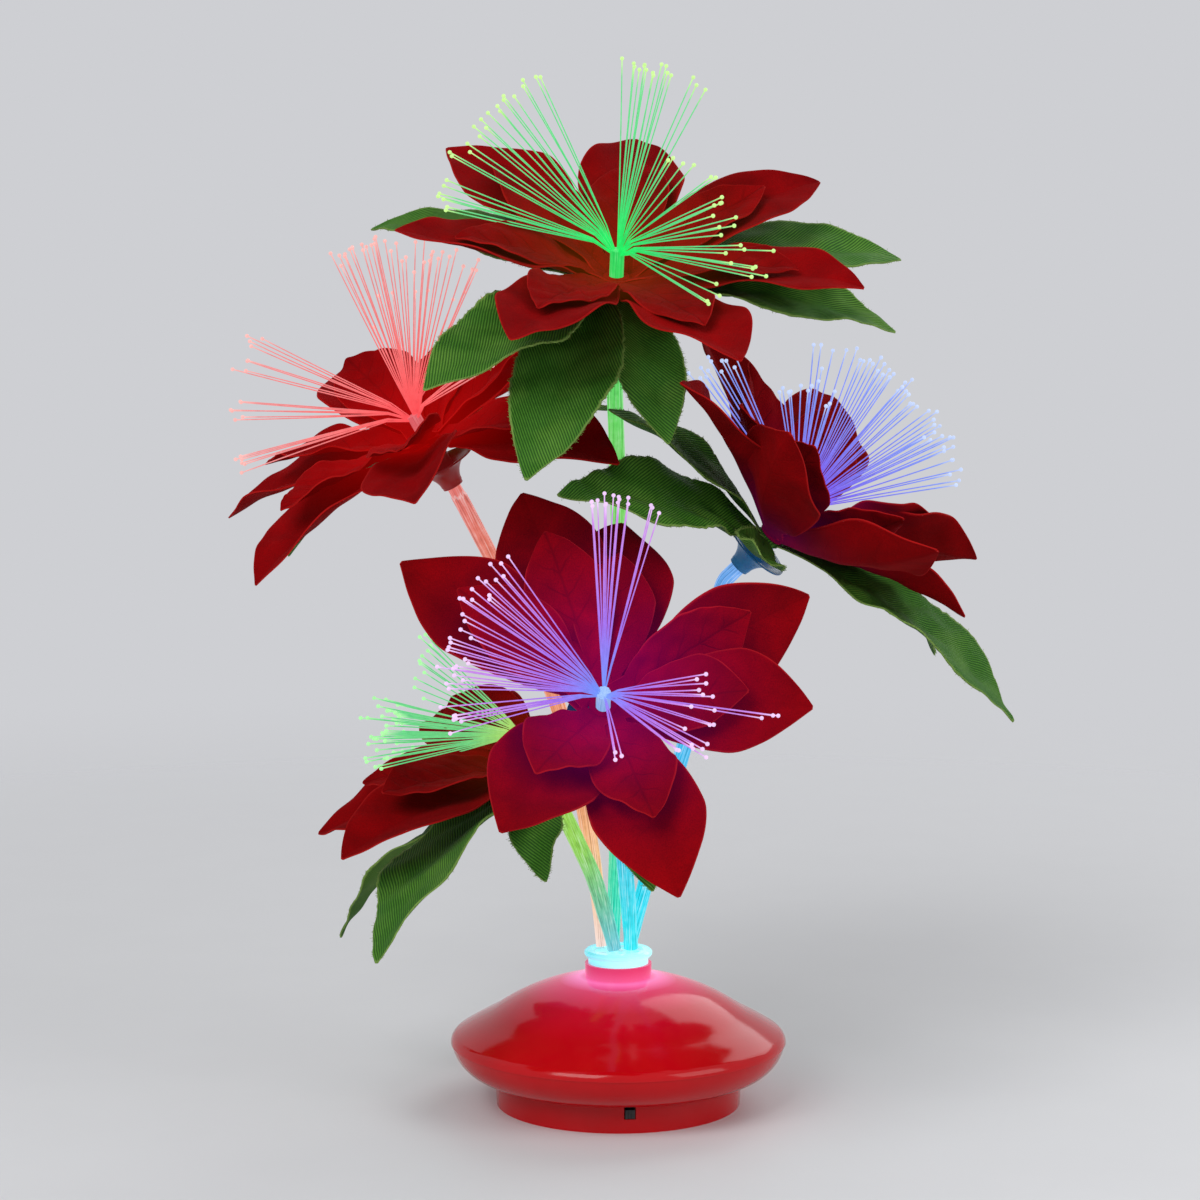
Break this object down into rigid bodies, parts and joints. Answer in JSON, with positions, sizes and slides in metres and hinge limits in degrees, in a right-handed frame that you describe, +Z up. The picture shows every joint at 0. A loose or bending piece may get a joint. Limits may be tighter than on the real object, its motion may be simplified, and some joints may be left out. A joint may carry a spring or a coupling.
{
  "type": "light-up flower centrepiece",
  "caption": "Battery-lit table centrepiece: velvet flowers with glowing light-fibre sprays on bendable stems, standing in a clear collar on a round glossy base with a slide switch.",
  "frame": {"origin": "on the table under the middle of the round base", "axes": "+Z up along the base's axis, the switch on the -Y side, +X to the right seen from the front"},
  "size_m": [0.2483, 0.2201, 0.3204],
  "materials": {
    "shell_red": "glossy red moulding",
    "cell": "plain dark sleeve",
    "spring_steel": "plated sheet",
    "screw_steel": "zinc plated",
    "board": "green laminate",
    "lamp_clear": "water clear",
    "wire_skin": "soft sleeve",
    "switch_black": "fine grain",
    "collar_clear": "clear, lit from below",
    "holder_white": "translucent white",
    "fibre_ends": "polished fibre ends",
    "cup_teal": "translucent",
    "leaf_green": "ribbed woven cloth",
    "petal_red": "flocked velvet",
    "top_film": "clear film sleeve, lit",
    "top_fibre": "light fibre, lit",
    "left_film": "clear film sleeve, lit",
    "left_fibre": "light fibre, lit",
    "right_film": "clear film sleeve, lit",
    "right_fibre": "light fibre, lit",
    "front_film": "clear film sleeve, lit",
    "front_fibre": "light fibre, lit",
    "low_film": "clear film sleeve, lit",
    "low_fibre": "light fibre, lit"
  },
  "bodies": {
    "base": {"upper_shell": "shell_red", "lower_shell": "shell_red", "battery_cells": "cell", "battery_contacts": "spring_steel", "case_screws": "screw_steel", "led_board": "board", "board_screws": "screw_steel", "leds": "lamp_clear", "wires": "wire_skin", "switch_body": "switch_black", "collar": "collar_clear", "stem_holder": "holder_white", "fibre_roots": "fibre_ends"},
    "battery_door": {"battery_door": "shell_red"},
    "switch_knob": {"switch_knob": "switch_black"},
    "top_flower": {"top_stem": "top_film", "top_cup": "cup_teal", "top_leaves": "leaf_green", "top_outer_petals": "petal_red", "top_inner_petals": "petal_red", "top_fibres": "top_fibre"},
    "left_flower": {"left_stem": "left_film", "left_cup": "cup_teal", "left_leaves": "leaf_green", "left_outer_petals": "petal_red", "left_inner_petals": "petal_red", "left_fibres": "left_fibre"},
    "right_flower": {"right_stem": "right_film", "right_cup": "cup_teal", "right_leaves": "leaf_green", "right_outer_petals": "petal_red", "right_inner_petals": "petal_red", "right_fibres": "right_fibre"},
    "front_flower": {"front_stem": "front_film", "front_cup": "cup_teal", "front_leaves": "leaf_green", "front_outer_petals": "petal_red", "front_inner_petals": "petal_red", "front_fibres": "front_fibre"},
    "low_flower": {"low_stem": "low_film", "low_cup": "cup_teal", "low_leaves": "leaf_green", "low_outer_petals": "petal_red", "low_inner_petals": "petal_red", "low_fibres": "low_fibre"}
  },
  "joints": [
    {"name": "switch_slide", "type": "slide", "parent": "base", "child": "switch_knob", "axis": [0, 0, 1], "range_m": [0, 0.0015]},
    {"name": "door_hinge", "type": "hinge", "parent": "base", "child": "battery_door", "pos_m": [-0.02525, 0, 0.003], "axis": [0, 1, 0], "range_deg": [0, 100]},
    {"name": "top_bend", "type": "hinge", "parent": "base", "child": "top_flower", "pos_m": [-0.00129, 0.00452, 0.0485], "axis": [-0.891, 0.454, 0], "range_deg": [0, 10]},
    {"name": "left_bend", "type": "hinge", "parent": "base", "child": "left_flower", "pos_m": [-0.0047, 0.00016, 0.0485], "axis": [-0.9962, -0.0872, 0], "range_deg": [0, 10]},
    {"name": "right_bend", "type": "hinge", "parent": "base", "child": "right_flower", "pos_m": [0.0039, 0.00263, 0.0485], "axis": [-0.2588, 0.9659, 0], "range_deg": [0, 10]},
    {"name": "front_bend", "type": "hinge", "parent": "base", "child": "front_flower", "pos_m": [0.0037, -0.00289, 0.0485], "axis": [0.7071, -0.7071, 0], "range_deg": [0, 10]},
    {"name": "low_bend", "type": "hinge", "parent": "base", "child": "low_flower", "pos_m": [-0.00161, -0.00442, 0.0485], "axis": [0, -1, 0], "range_deg": [0, 10]}
  ]
}
